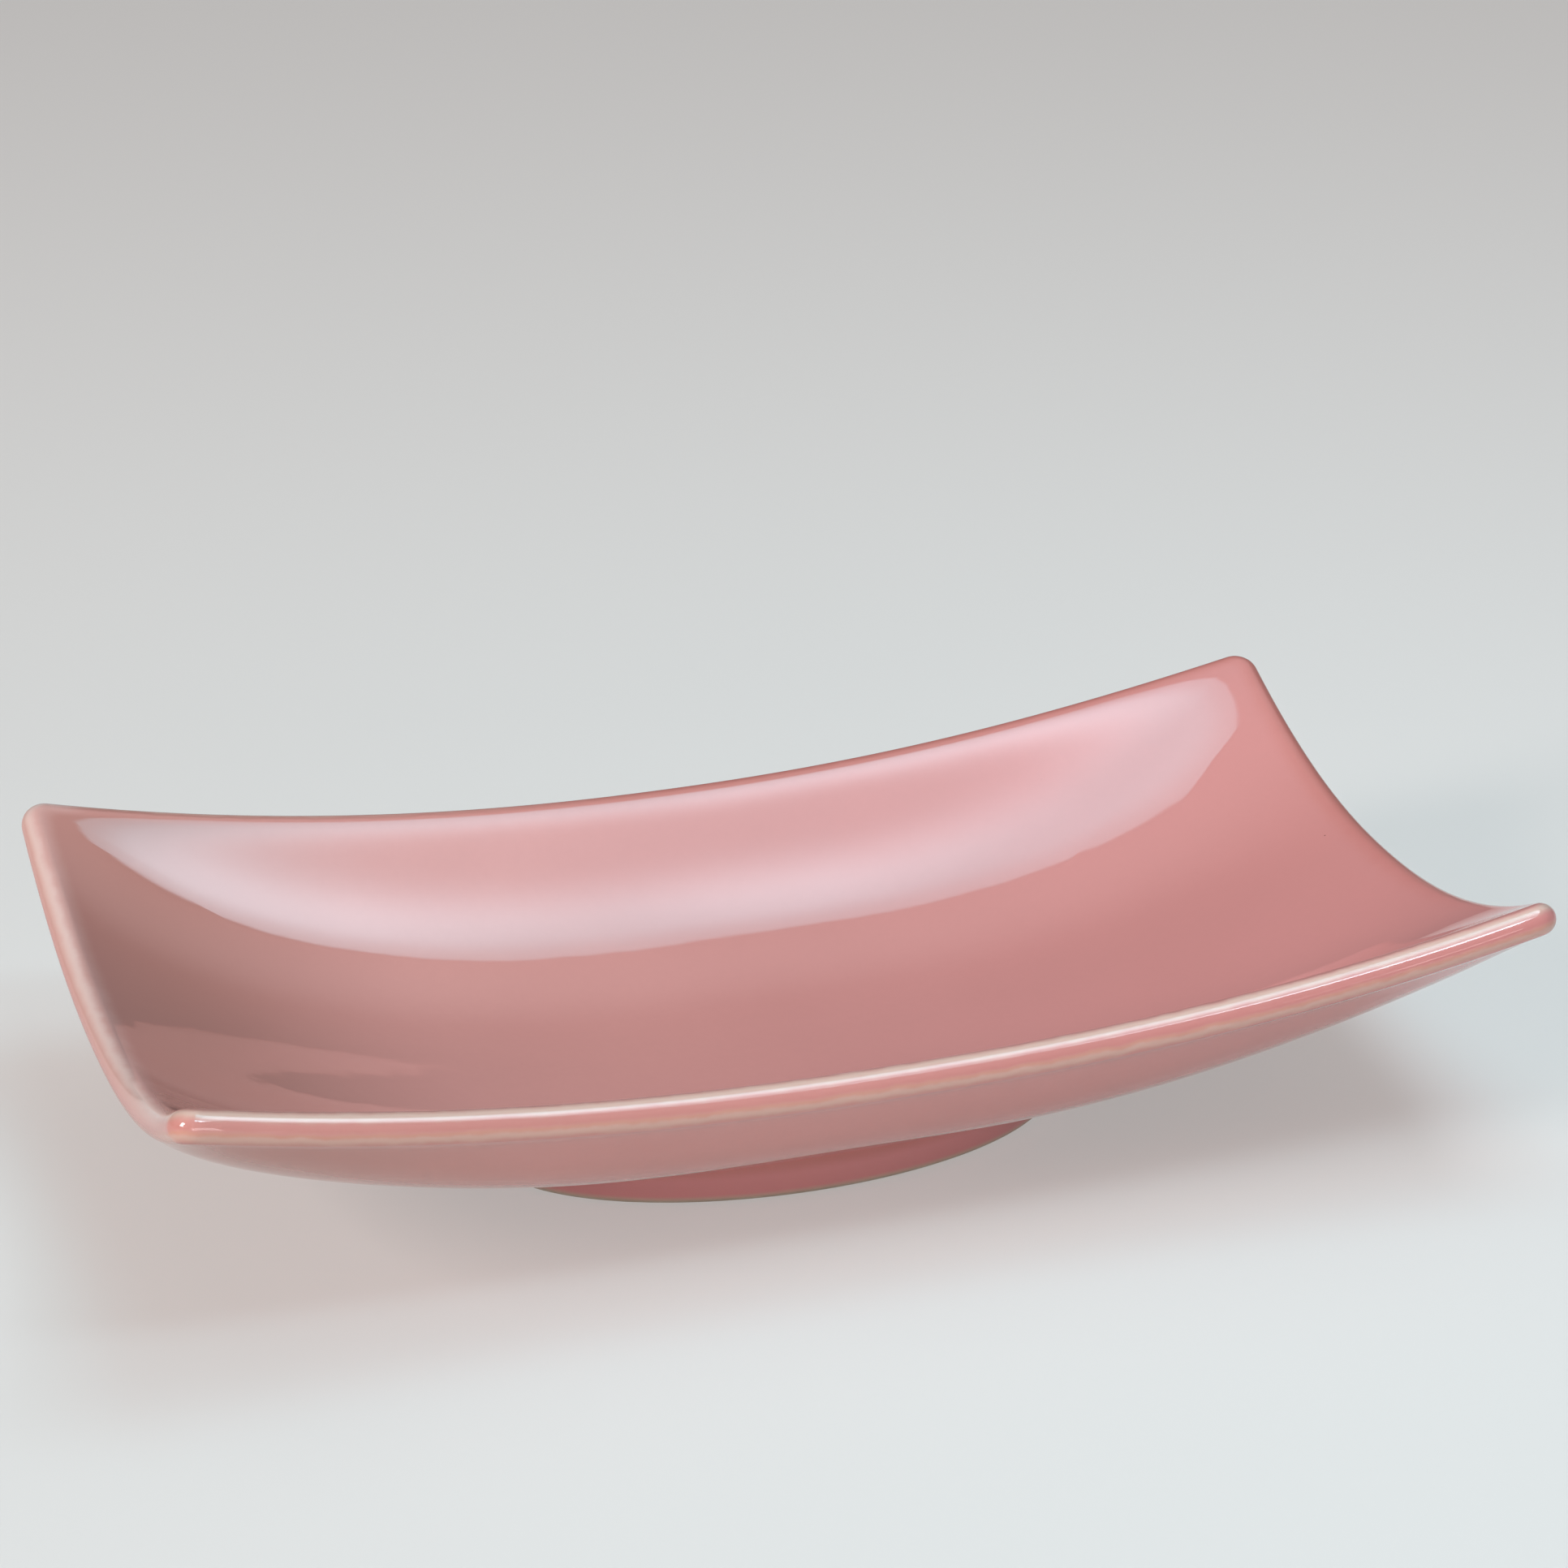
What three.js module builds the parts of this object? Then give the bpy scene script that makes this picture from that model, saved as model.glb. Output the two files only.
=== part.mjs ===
import * as THREE from "three";

// Rectangular serving platter of glazed ceramic, 340 mm long, on one oval foot ring.
// Units are millimetres. +X runs along the length, +Y across the width, +Z up.
// The platter stands on z = 0 and its middle is on the Z axis.
//
// The dish is described by its middle surface, halfway through the glazed wall.
// Every other surface is that one moved along its own normal, so the clay, the gap and
// the glaze stay parallel everywhere, also round the lip.

// Plan of the lip, measured along the crest of the lip
const CREST_LENGTH = 332;
const CREST_WIDTH = 177.7;
const SIDE_PINCH = 3.3; // how far the middle of a long side is drawn in
const CREST_CORNER_RADIUS = 2.5;

// Heights of the lip's centre above the table
const SHORT_SIDE_HEIGHT = 46.2; // middle of a short side
const LONG_SIDE_HEIGHT = 51.1; // middle of a long side
const CORNER_HEIGHT = 69.5;
const RIM_POWER = 2.17; // how late the long rim turns up to its corners
const LOW_CORNER_DROP = 2.6; // the +X +Y corner sank a little in the kiln
const LOW_CORNER_POWER = 4;

// The hollow between the rims
const FLOOR_HEIGHT = 14; // middle surface at the centre
const LENGTH_POWER = 2.65; // floor line, centre to short side
const WALL_POWER_MIDDLE = 3.1; // cross section over most of the length: flat floor, steep wall
const WALL_POWER_END = 2.17; // cross section at the short side: an open bow
const SECTION_CHANGE_POWER = 8; // how late along the length the one becomes the other
const LIP_EASE = 0.075; // the wall leans back a little just below the long lip
const LIP_EASE_POWER = 21;

// Wall, glaze and fits
const LIP_THICKNESS = 8;
const BASE_THICKENING = 2.5; // extra thickness of the underside at the centre
const THICKENING_POWER = 4;
const END_FULLNESS = 6; // makes the belly fuller towards the short ends
const END_FULLNESS_POWER = 6;
const FULLNESS_FADE_POWER = 8; // and lets that fade out at the lip
const GLAZE_THICKNESS = 0.55;
const FIT_GAP = 0.3; // clear space between neighbouring pieces
const SLIP_THICKNESS = 0.5;

// Foot ring, an oval in plan
const FOOT_LENGTH = 149.6;
const FOOT_WIDTH = 83;
const FOOT_WALL = 6.2; // clay
const FOOT_DRAFT = 0.06; // the wall widens upwards, mm per mm
const FOOT_FILLET = 1.6; // glaze between belly and foot
const WELL_FILLET = 2.4; // glaze in the corner inside the ring
const BARE_EDGE_HEIGHT = 1.4; // clay left bare above the table
const CONTACT_ROUNDING = 0.7;

// Fineness of the surfaces
const LONG_STEPS = 8; // per half of a long side
const SHORT_STEPS = 4; // per half of a short side
const CORNER_STEPS = 4;
const INNER_ROWS = 10;
const INNER_CROWDING = 1.7; // rows draw together towards the lip
const LIP_STEPS = 8;
const BELLY_ROWS = 7;
const WELL_ROWS = 3;

const HALF_LENGTH = CREST_LENGTH / 2;
const HALF_WIDTH = CREST_WIDTH / 2;
const LIP_RADIUS = LIP_THICKNESS / 2;
const CLAY_INSET = GLAZE_THICKNESS + FIT_GAP; // clay surface below the glazed surface

// Half the width of the crest at a station along the length
function crestHalfWidth(x) {
  const u = Math.min(Math.abs(x) / HALF_LENGTH, 1);
  return HALF_WIDTH - SIDE_PINCH * (1 - u * u);
}

// Height of the middle surface: a line along the floor, and a cross section that rises
// from it to the long rim
function middleHeight(x, y) {
  const u = Math.abs(x) / HALF_LENGTH;
  const v = Math.abs(y) / crestHalfWidth(x);
  const floorLine = FLOOR_HEIGHT + (SHORT_SIDE_HEIGHT - FLOOR_HEIGHT) * u ** LENGTH_POWER;
  const rimLine = LONG_SIDE_HEIGHT + (CORNER_HEIGHT - LONG_SIDE_HEIGHT) * u ** RIM_POWER;
  const change = Math.min(u, 1) ** SECTION_CHANGE_POWER;
  const power = WALL_POWER_MIDDLE + (WALL_POWER_END - WALL_POWER_MIDDLE) * change;
  const ease = LIP_EASE * (1 - change);
  const rise = (1 + ease) * v ** power - ease * v ** (power + LIP_EASE_POWER);
  const drop = x > 0 && y > 0 ? LOW_CORNER_DROP * (u * v) ** LOW_CORNER_POWER : 0;
  return floorLine + (rimLine - floorLine) * rise - drop;
}

function middleNormal(x, y) {
  const step = 0.05;
  const alongX = (middleHeight(x + step, y) - middleHeight(x - step, y)) / (2 * step);
  const alongY = (middleHeight(x, y + step) - middleHeight(x, y - step)) / (2 * step);
  return new THREE.Vector3(-alongX, -alongY, 1).normalize();
}

// A point of the middle surface moved along its normal: up when the distance is positive
function offsetPoint(x, y, distance) {
  const point = new THREE.Vector3(x, y, middleHeight(x, y));
  return point.addScaledVector(middleNormal(x, y), distance);
}

// Half the glazed wall on the underside, which is thicker under the floor and the ends
function undersideDepth(x, y) {
  const u = Math.abs(x) / HALF_LENGTH;
  const v = Math.abs(y) / crestHalfWidth(x);
  const outward = Math.min(u ** THICKENING_POWER + v ** THICKENING_POWER, 1);
  const fade = (1 - Math.min(u, 1) ** FULLNESS_FADE_POWER) * (1 - Math.min(v, 1) ** FULLNESS_FADE_POWER);
  const fullness = END_FULLNESS * u ** END_FULLNESS_POWER * fade;
  return LIP_RADIUS + BASE_THICKENING * (1 - outward) ** 2 + fullness;
}

// Plan of the crest, counter-clockwise from the middle of the +X short side
function crestOutline() {
  const quarter = [];
  const cornerX = HALF_LENGTH - CREST_CORNER_RADIUS;
  const cornerY = crestHalfWidth(cornerX) - CREST_CORNER_RADIUS;
  for (let k = 0; k < SHORT_STEPS; k += 1) {
    quarter.push([HALF_LENGTH, (cornerY * k) / SHORT_STEPS]);
  }
  for (let k = 0; k < CORNER_STEPS; k += 1) {
    const turn = ((Math.PI / 2) * k) / CORNER_STEPS;
    const x = cornerX + CREST_CORNER_RADIUS * Math.cos(turn);
    const y = cornerY + CREST_CORNER_RADIUS * Math.sin(turn);
    quarter.push([x, y]);
  }
  for (let k = 0; k < LONG_STEPS; k += 1) {
    const x = cornerX * (1 - k / LONG_STEPS);
    quarter.push([x, crestHalfWidth(x)]);
  }
  const top = [0, crestHalfWidth(0)];
  const secondQuarter = quarter.slice(1).reverse().map(([x, y]) => [-x, y]);
  const half = [...quarter, top, ...secondQuarter];
  const otherHalf = half.map(([x, y]) => [-x, -y]);
  return [...half, ...otherHalf];
}

const OUTLINE = crestOutline();
const COUNT = OUTLINE.length;

// Unit direction in plan of each outline point, and the crest's distance along it
const RAYS = OUTLINE.map(([x, y]) => {
  const reach = Math.hypot(x, y);
  return { dx: x / reach, dy: y / reach, reach };
});

// Radius in plan, along a ray, of the foot's oval grown or shrunk by an amount
function ovalRadius(ray, grow) {
  const halfLong = FOOT_LENGTH / 2 + grow;
  const halfShort = FOOT_WIDTH / 2 + grow;
  return 1 / Math.hypot(ray.dx / halfLong, ray.dy / halfShort);
}

function ring(pointAt) {
  return RAYS.map((ray, index) => pointAt(ray, index));
}

// Ring on the upper side of the dish, at a share of the way from centre to crest
function upperRing(share, distance) {
  return ring((ray) => {
    const radius = ray.reach * share;
    return offsetPoint(ray.dx * radius, ray.dy * radius, distance);
  });
}

// Point of the underside at a radius along a ray; inset moves it up into the wall
function bellyPoint(ray, radius, inset) {
  const x = ray.dx * radius;
  const y = ray.dy * radius;
  return offsetPoint(x, y, -(undersideDepth(x, y) - inset));
}

// Height of the underside straight above a point of the table
function undersideHeight(x, y, inset) {
  let fromX = x;
  let fromY = y;
  let point = new THREE.Vector3();
  for (let round = 0; round < 8; round += 1) {
    point = offsetPoint(fromX, fromY, -(undersideDepth(fromX, fromY) - inset));
    fromX += x - point.x;
    fromY += y - point.y;
  }
  return point.z;
}

// Rows over the inside, from near the centre to the crest
function insideRows(distance) {
  const rows = [];
  for (let k = 1; k <= INNER_ROWS; k += 1) {
    rows.push(upperRing(1 - (1 - k / INNER_ROWS) ** INNER_CROWDING, distance));
  }
  return rows;
}

// Half circle round the crest, from the inside to the underside
function lipRows(radius) {
  const crest = OUTLINE.map(([x, y]) => new THREE.Vector3(x, y, middleHeight(x, y)));
  const rows = [];
  for (let k = 1; k < LIP_STEPS; k += 1) {
    const turn = (Math.PI * k) / LIP_STEPS;
    rows.push(crest.map((centre, i) => {
      const before = crest[(i + COUNT - 1) % COUNT];
      const after = crest[(i + 1) % COUNT];
      const along = after.clone().sub(before).normalize();
      const normal = middleNormal(centre.x, centre.y);
      const outward = along.cross(normal).normalize();
      const point = centre.clone().addScaledVector(normal, radius * Math.cos(turn));
      return point.addScaledVector(outward, radius * Math.sin(turn));
    }));
  }
  return rows;
}

// Where along a ray the belly gives way to the foot's fillet, measured on the middle surface
function footJunctionRadius(ray) {
  const wanted = ovalRadius(ray, FOOT_DRAFT * FLOOR_HEIGHT + FOOT_FILLET);
  let radius = wanted;
  for (let round = 0; round < 8; round += 1) {
    const point = bellyPoint(ray, radius, 0);
    radius += wanted - Math.hypot(point.x, point.y);
  }
  return radius;
}

// Rows over the belly, from the crest inwards to the foot
function bellyRows(inset) {
  const rows = [];
  for (let k = 0; k <= BELLY_ROWS; k += 1) {
    const share = k / BELLY_ROWS;
    rows.push(ring((ray) => {
      const radius = ray.reach + (footJunctionRadius(ray) - ray.reach) * share;
      return bellyPoint(ray, radius, inset);
    }));
  }
  return rows;
}

// Rounded inner corner between a start point, a sharp corner point and an end point
function cornerPoint(start, corner, end, share) {
  const a = start.clone().lerp(corner, share);
  const b = corner.clone().lerp(end, share);
  return a.lerp(b, share);
}

// Point of the foot's outer wall at a height; inset moves it into the foot
function footWallPoint(ray, height, inset) {
  const radius = ovalRadius(ray, FOOT_DRAFT * height - inset);
  return new THREE.Vector3(ray.dx * radius, ray.dy * radius, height);
}

// Point of the foot's inner wall at a height; inset moves it out into the foot
function wellWallPoint(ray, height, inset) {
  const glazedWall = FOOT_WALL + 2 * CLAY_INSET;
  const radius = ovalRadius(ray, inset - glazedWall - FOOT_DRAFT * height);
  return new THREE.Vector3(ray.dx * radius, ray.dy * radius, height);
}

// Where the underside would meet a wall of the foot if nothing rounded the corner
function wallCorner(ray, wallPoint, inset) {
  let corner = wallPoint(ray, FLOOR_HEIGHT / 2, inset);
  for (let round = 0; round < 4; round += 1) {
    corner = wallPoint(ray, undersideHeight(corner.x, corner.y, inset), inset);
  }
  return corner;
}

// Fillet under the belly and the foot's outer wall down to the bare edge
function footRows(inset) {
  const parts = ring((ray) => {
    const start = bellyPoint(ray, footJunctionRadius(ray), inset);
    const corner = wallCorner(ray, footWallPoint, inset);
    const end = footWallPoint(ray, corner.z - FOOT_FILLET, inset);
    const foot = footWallPoint(ray, BARE_EDGE_HEIGHT, inset);
    return { start, corner, end, foot };
  });
  const fillet = [1 / 3, 2 / 3, 1].map((share) =>
    parts.map((p) => cornerPoint(p.start, p.corner, p.end, share)));
  const wall = [1 / 2, 1].map((share) => parts.map((p) => p.end.clone().lerp(p.foot, share)));
  return [...fillet, ...wall];
}

// Underside within the foot ring, from the centre out, and down the ring's inner wall
function wellRows(inset) {
  const parts = ring((ray) => {
    const corner = wallCorner(ray, wellWallPoint, inset);
    const startRadius = Math.hypot(corner.x, corner.y) - WELL_FILLET;
    const start = bellyPoint(ray, startRadius, inset);
    const end = wellWallPoint(ray, corner.z - WELL_FILLET, inset);
    const foot = wellWallPoint(ray, BARE_EDGE_HEIGHT, inset);
    return { ray, startRadius, start, corner, end, foot };
  });
  const ceiling = [];
  for (let k = 1; k <= WELL_ROWS; k += 1) {
    ceiling.push(parts.map((p) => bellyPoint(p.ray, (p.startRadius * k) / WELL_ROWS, inset)));
  }
  const fillet = [1 / 3, 2 / 3, 1].map((share) =>
    parts.map((p) => cornerPoint(p.start, p.corner, p.end, share)));
  const wall = [parts.map((p) => p.foot)];
  return [...ceiling, ...fillet, ...wall];
}

// Flat list of triangle corners for the strip between two rings. Faces that lie over
// one another split their quads along the same diagonal, so that they stay parallel.
function strip(a, b, { turned = false, crossed = false } = {}) {
  const corners = [];
  for (let i = 0; i < COUNT; i += 1) {
    const j = (i + 1) % COUNT;
    const triangles = crossed
      ? [[a[i], b[i], a[j]], [b[i], b[j], a[j]]]
      : [[a[i], b[i], b[j]], [a[i], b[j], a[j]]];
    for (const [p, q, r] of triangles) {
      corners.push(p, turned ? r : q, turned ? q : r);
    }
  }
  return corners;
}

// Fan between a centre point and the ring round it
function fan(centre, ringPoints, turned) {
  const corners = [];
  for (let i = 0; i < COUNT; i += 1) {
    const j = (i + 1) % COUNT;
    corners.push(centre, ringPoints[turned ? j : i], ringPoints[turned ? i : j]);
  }
  return corners;
}

// One face, from its centre point over its rings
function face(centre, rings, { turned = false, crossed = false } = {}) {
  const corners = fan(centre, rings[0], turned);
  for (let k = 0; k + 1 < rings.length; k += 1) {
    corners.push(...strip(rings[k], rings[k + 1], { turned, crossed }));
  }
  return corners;
}

function geometryFrom(corners) {
  const positions = new Float32Array(corners.length * 3);
  corners.forEach((point, index) => point.toArray(positions, index * 3));
  const geometry = new THREE.BufferGeometry();
  geometry.setAttribute("position", new THREE.BufferAttribute(positions, 3));
  geometry.computeVertexNormals();
  return geometry;
}

// Thin film: an upper face and a lower face with the same rings, joined at the edge
function film(upper, lower, crossed) {
  const edge = strip(upper.rings[upper.rings.length - 1], lower.rings[lower.rings.length - 1]);
  return geometryFrom([
    ...face(upper.centre, upper.rings, { crossed }),
    ...edge,
    ...face(lower.centre, lower.rings, { turned: true, crossed }),
  ]);
}

// Closed hoop: its rings follow one another round the section, top side outwards first
function closedHoop(rings) {
  const corners = [];
  for (let k = 0; k < rings.length; k += 1) {
    corners.push(...strip(rings[k], rings[(k + 1) % rings.length]));
  }
  return geometryFrom(corners);
}

// Fired clay of the dish: inside, lip, belly and the face above foot and well
function clayDish() {
  const upper = LIP_RADIUS - CLAY_INSET;
  const ceiling = wellRows(CLAY_INSET).slice(0, WELL_ROWS).reverse();
  const overFoot = [footWallPoint, wellWallPoint].map((wall) => seamRing(wall, CLAY_INSET, 0));
  const underside = [...bellyRows(CLAY_INSET), ...overFoot, ...ceiling];
  const rings = [...insideRows(upper), ...lipRows(upper), ...underside];
  const top = offsetPoint(0, 0, upper);
  const bottom = offsetPoint(0, 0, -(undersideDepth(0, 0) - CLAY_INSET));
  return geometryFrom([...face(top, rings), ...fan(bottom, rings[rings.length - 1], true)]);
}

// Glaze over the inside, round the lip, over the belly and down the foot's outer wall
function glazeCoat() {
  const side = (inset) => ({
    centre: offsetPoint(0, 0, LIP_RADIUS - inset),
    rings: [
      ...insideRows(LIP_RADIUS - inset),
      ...lipRows(LIP_RADIUS - inset),
      ...bellyRows(inset),
      ...footRows(inset),
    ],
  });
  return film(side(0), side(GLAZE_THICKNESS), false);
}

// Glaze on the underside within the foot ring and on the ring's inner wall
function footWellGlaze() {
  const side = (inset) => ({
    centre: offsetPoint(0, 0, inset - undersideDepth(0, 0)),
    rings: wellRows(inset),
  });
  return film(side(GLAZE_THICKNESS), side(0), true);
}

// Ring of points over a wall of the foot, at a depth straight below the clay of the dish
function seamRing(wallPoint, inset, depth) {
  return ring((ray) => {
    const corner = wallCorner(ray, wallPoint, inset);
    const height = undersideHeight(corner.x, corner.y, CLAY_INSET);
    return corner.setZ(height - depth);
  });
}

function midway(a, b) {
  return a.map((point, i) => point.clone().lerp(b[i], 0.5));
}

// Foot ring: its top follows the belly, its bottom stands flat on the table
function footRing() {
  const depth = FIT_GAP + SLIP_THICKNESS + FIT_GAP;
  const innerTop = seamRing(wellWallPoint, CLAY_INSET, depth);
  const outerTop = seamRing(footWallPoint, CLAY_INSET, depth);
  const wallRing = (wallPoint, height, extra) =>
    ring((ray) => wallPoint(ray, height, CLAY_INSET + extra));
  return closedHoop([
    innerTop,
    midway(innerTop, outerTop),
    outerTop,
    wallRing(footWallPoint, BARE_EDGE_HEIGHT, 0),
    wallRing(footWallPoint, CONTACT_ROUNDING, 0),
    wallRing(footWallPoint, 0, CONTACT_ROUNDING),
    wallRing(wellWallPoint, 0, CONTACT_ROUNDING),
    wallRing(wellWallPoint, CONTACT_ROUNDING, 0),
    wallRing(wellWallPoint, BARE_EDGE_HEIGHT, 0),
  ]);
}

// Bed of slip in which the ring is set
function lutingSlip() {
  const edge = CLAY_INSET + FIT_GAP;
  const above = FIT_GAP;
  const below = FIT_GAP + SLIP_THICKNESS;
  const upperInner = seamRing(wellWallPoint, edge, above);
  const upperOuter = seamRing(footWallPoint, edge, above);
  const lowerOuter = seamRing(footWallPoint, edge, below);
  const lowerInner = seamRing(wellWallPoint, edge, below);
  return closedHoop([
    upperInner,
    midway(upperInner, upperOuter),
    upperOuter,
    lowerOuter,
    midway(lowerInner, lowerOuter),
    lowerInner,
  ]);
}

const MATERIALS = {
  clay: { color: 0xcdbfae, roughness: 0.85, metalness: 0 },
  slip: { color: 0xc4b3a0, roughness: 0.9, metalness: 0 },
  pinkGlaze: { color: 0xcf948e, roughness: 0.08, metalness: 0 },
};

const PIECES = [
  ["clay_dish", clayDish(), MATERIALS.clay],
  ["foot_ring", footRing(), MATERIALS.clay],
  ["luting_slip", lutingSlip(), MATERIALS.slip],
  ["glaze_coat", glazeCoat(), MATERIALS.pinkGlaze],
  ["foot_well_glaze", footWellGlaze(), MATERIALS.pinkGlaze],
];

const platter = new THREE.Group();
platter.name = "ceramic_platter";
for (const [name, geometry, look] of PIECES) {
  const mesh = new THREE.Mesh(geometry, new THREE.MeshStandardMaterial(look));
  mesh.name = name;
  platter.add(mesh);
}

export default platter;
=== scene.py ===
# %% [markdown]
# # A glazed ceramic platter
#
# This lesson dresses one rectangular serving platter: a press-moulded dish with raised
# corners, a rounded lip, an oval foot and a glossy pink glaze. The solids that carry its
# size and weight are already made and come in first. They are faceted, so each visible
# one gets a finer mesh on exactly the same form. Nothing may grow past the box that the
# solids fill, so that box is kept and printed again beside the dressed one at the end.

# %% Bring in the solids
import math

import bpy
import numpy as np
from mathutils import Matrix, Vector


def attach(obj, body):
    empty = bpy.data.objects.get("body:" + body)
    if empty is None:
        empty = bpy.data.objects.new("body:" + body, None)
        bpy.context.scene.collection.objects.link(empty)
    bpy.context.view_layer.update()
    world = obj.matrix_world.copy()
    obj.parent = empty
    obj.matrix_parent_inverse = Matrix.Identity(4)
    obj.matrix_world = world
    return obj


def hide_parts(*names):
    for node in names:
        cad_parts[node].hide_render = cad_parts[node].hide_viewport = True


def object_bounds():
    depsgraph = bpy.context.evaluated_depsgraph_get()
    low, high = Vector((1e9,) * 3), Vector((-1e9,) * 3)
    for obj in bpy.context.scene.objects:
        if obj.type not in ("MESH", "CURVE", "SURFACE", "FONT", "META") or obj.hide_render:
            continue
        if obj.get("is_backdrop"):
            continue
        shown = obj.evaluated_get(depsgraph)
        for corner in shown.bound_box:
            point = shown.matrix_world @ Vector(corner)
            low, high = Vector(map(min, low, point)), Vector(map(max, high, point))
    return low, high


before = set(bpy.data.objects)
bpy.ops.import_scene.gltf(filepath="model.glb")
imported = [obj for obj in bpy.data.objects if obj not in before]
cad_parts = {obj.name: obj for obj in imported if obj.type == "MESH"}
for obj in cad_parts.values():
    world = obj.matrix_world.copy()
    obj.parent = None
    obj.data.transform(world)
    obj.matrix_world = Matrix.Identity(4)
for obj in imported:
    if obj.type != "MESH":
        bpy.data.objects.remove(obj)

solid_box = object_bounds()
print("solids:", sorted(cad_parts))
print("box of the solids in mm:", [[round(1000 * c, 2) for c in corner] for corner in solid_box])

# %% [markdown]
# ## The form in numbers
#
# The whole dish hangs on one surface that runs through the middle of its wall. Its rim is
# low in the middle of each side and sweeps up to the corners. The floor is nearly flat
# and the long walls turn up late and steeply, then ease back a little under the lip, so
# the cross section is a soft letter S. Powers of the distance from the middle give that
# kind of curve: the higher the power, the later it turns up. One corner sank a little in
# the kiln and sits lower than the others. All lengths are millimetres here and become
# metres only when a mesh is made.

# %% Sizes of the dish
CREST_LENGTH, CREST_WIDTH = 332.0, 177.7
SIDE_PINCH = 3.3
CREST_CORNER_RADIUS = 2.5
SHORT_SIDE_HEIGHT, LONG_SIDE_HEIGHT, CORNER_HEIGHT = 46.2, 51.1, 69.5
RIM_POWER = 2.17
LOW_CORNER_DROP, LOW_CORNER_POWER = 2.6, 4
FLOOR_HEIGHT, LENGTH_POWER = 14.0, 2.65
WALL_POWER_MIDDLE, WALL_POWER_END, SECTION_CHANGE_POWER = 3.1, 2.17, 8
LIP_EASE, LIP_EASE_POWER = 0.075, 21
HALF_LENGTH, HALF_WIDTH = CREST_LENGTH / 2, CREST_WIDTH / 2


def crest_half_width(x):
    """Half the width at a station along the length: the long sides are drawn in slightly."""
    u = np.minimum(np.abs(x) / HALF_LENGTH, 1)
    return HALF_WIDTH - SIDE_PINCH * (1 - u * u)


def middle_height(x, y):
    """Height of the surface halfway through the wall."""
    u, v = np.abs(x) / HALF_LENGTH, np.abs(y) / crest_half_width(x)
    floor_line = FLOOR_HEIGHT + (SHORT_SIDE_HEIGHT - FLOOR_HEIGHT) * u**LENGTH_POWER
    rim_line = LONG_SIDE_HEIGHT + (CORNER_HEIGHT - LONG_SIDE_HEIGHT) * u**RIM_POWER
    change = np.minimum(u, 1) ** SECTION_CHANGE_POWER
    power = WALL_POWER_MIDDLE + (WALL_POWER_END - WALL_POWER_MIDDLE) * change
    ease = LIP_EASE * (1 - change)
    rise = (1 + ease) * v**power - ease * v ** (power + LIP_EASE_POWER)
    back_right = (np.asarray(x) > 0) & (np.asarray(y) > 0)
    sunk = np.where(back_right, LOW_CORNER_DROP * (u * v) ** LOW_CORNER_POWER, 0)
    return floor_line + (rim_line - floor_line) * rise - sunk


for name, x, y in (("centre", 0, 0), ("short side", HALF_LENGTH, 0), ("corner", HALF_LENGTH, HALF_WIDTH)):
    print(f"{name}: middle of the wall at {float(middle_height(x, y)):.1f} mm")

# %% [markdown]
# ## Moving off the middle surface
#
# A potter's wall has a thickness, and glaze is a skin on top of it. Both come from the
# middle surface by stepping along its normal, which keeps the skin even everywhere, also
# where the wall is steep. A pressed dish is never perfectly true: a few long, very shallow
# waves, a tenth of a millimetre high, make the reflections wander as they do on real ware.

# %% Stepping along the normal
LIP_THICKNESS = 8.0
BASE_THICKENING, THICKENING_POWER = 2.5, 4.0
END_FULLNESS, END_FULLNESS_POWER, FULLNESS_FADE_POWER = 6.0, 6, 8
GLAZE_THICKNESS, FIT_GAP, SLIP_THICKNESS = 0.55, 0.3, 0.5
LIP_RADIUS, CLAY_INSET = LIP_THICKNESS / 2, GLAZE_THICKNESS + FIT_GAP
WAVE_HEIGHT = 0.09


def middle_normal(x, y, step=0.05):
    """Unit normal of the middle surface, pointing up into the dish."""
    along_x = (middle_height(x + step, y) - middle_height(x - step, y)) / (2 * step)
    along_y = (middle_height(x, y + step) - middle_height(x, y - step)) / (2 * step)
    normal = np.stack([-along_x, -along_y, np.ones_like(along_x)], axis=-1)
    return normal / np.linalg.norm(normal, axis=-1, keepdims=True)


def press_waves(x, y):
    """Shallow waves left by pressing and firing, fading out at the crest."""
    inward = 1 - np.minimum((x / HALF_LENGTH) ** 4 + (y / HALF_WIDTH) ** 4, 1)
    waves = np.sin(x / 17 + 1.3 + 0.9 * np.sin(y / 23)) + np.sin(y / 13 - 0.4 + np.sin(x / 31))
    return WAVE_HEIGHT * waves * inward / 2


def off_middle(x, y, distance):
    """Point above (or below, when negative) the middle surface, measured along the normal."""
    middle = np.stack([x, y, middle_height(x, y)], axis=-1)
    step = np.broadcast_to(distance, np.shape(x)) + press_waves(x, y)
    return middle + step[..., None] * middle_normal(x, y)


def underside_depth(x, y):
    """Half the wall on the underside, thicker beneath the floor and fuller towards the ends."""
    u, v = np.abs(x) / HALF_LENGTH, np.abs(y) / crest_half_width(x)
    outward = np.minimum(u**THICKENING_POWER + v**THICKENING_POWER, 1)
    fade = (1 - np.minimum(u, 1) ** FULLNESS_FADE_POWER) * (1 - np.minimum(v, 1) ** FULLNESS_FADE_POWER)
    fullness = END_FULLNESS * u**END_FULLNESS_POWER * fade
    return LIP_RADIUS + BASE_THICKENING * (1 - outward) ** 2 + fullness


centre_depth = float(underside_depth(0.0, 0.0))
print(f"wall at the centre: {LIP_RADIUS + centre_depth:.1f} mm, at the lip {LIP_THICKNESS} mm")

# %% [markdown]
# ## Rays from the middle to the lip
#
# Every mesh here is a stack of rings that share the same rays, like the spokes of a
# wheel. The outline of the crest gives the spokes: four straight-ish sides and four
# small round corners, with the steps closest together where the outline turns fastest.

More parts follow.
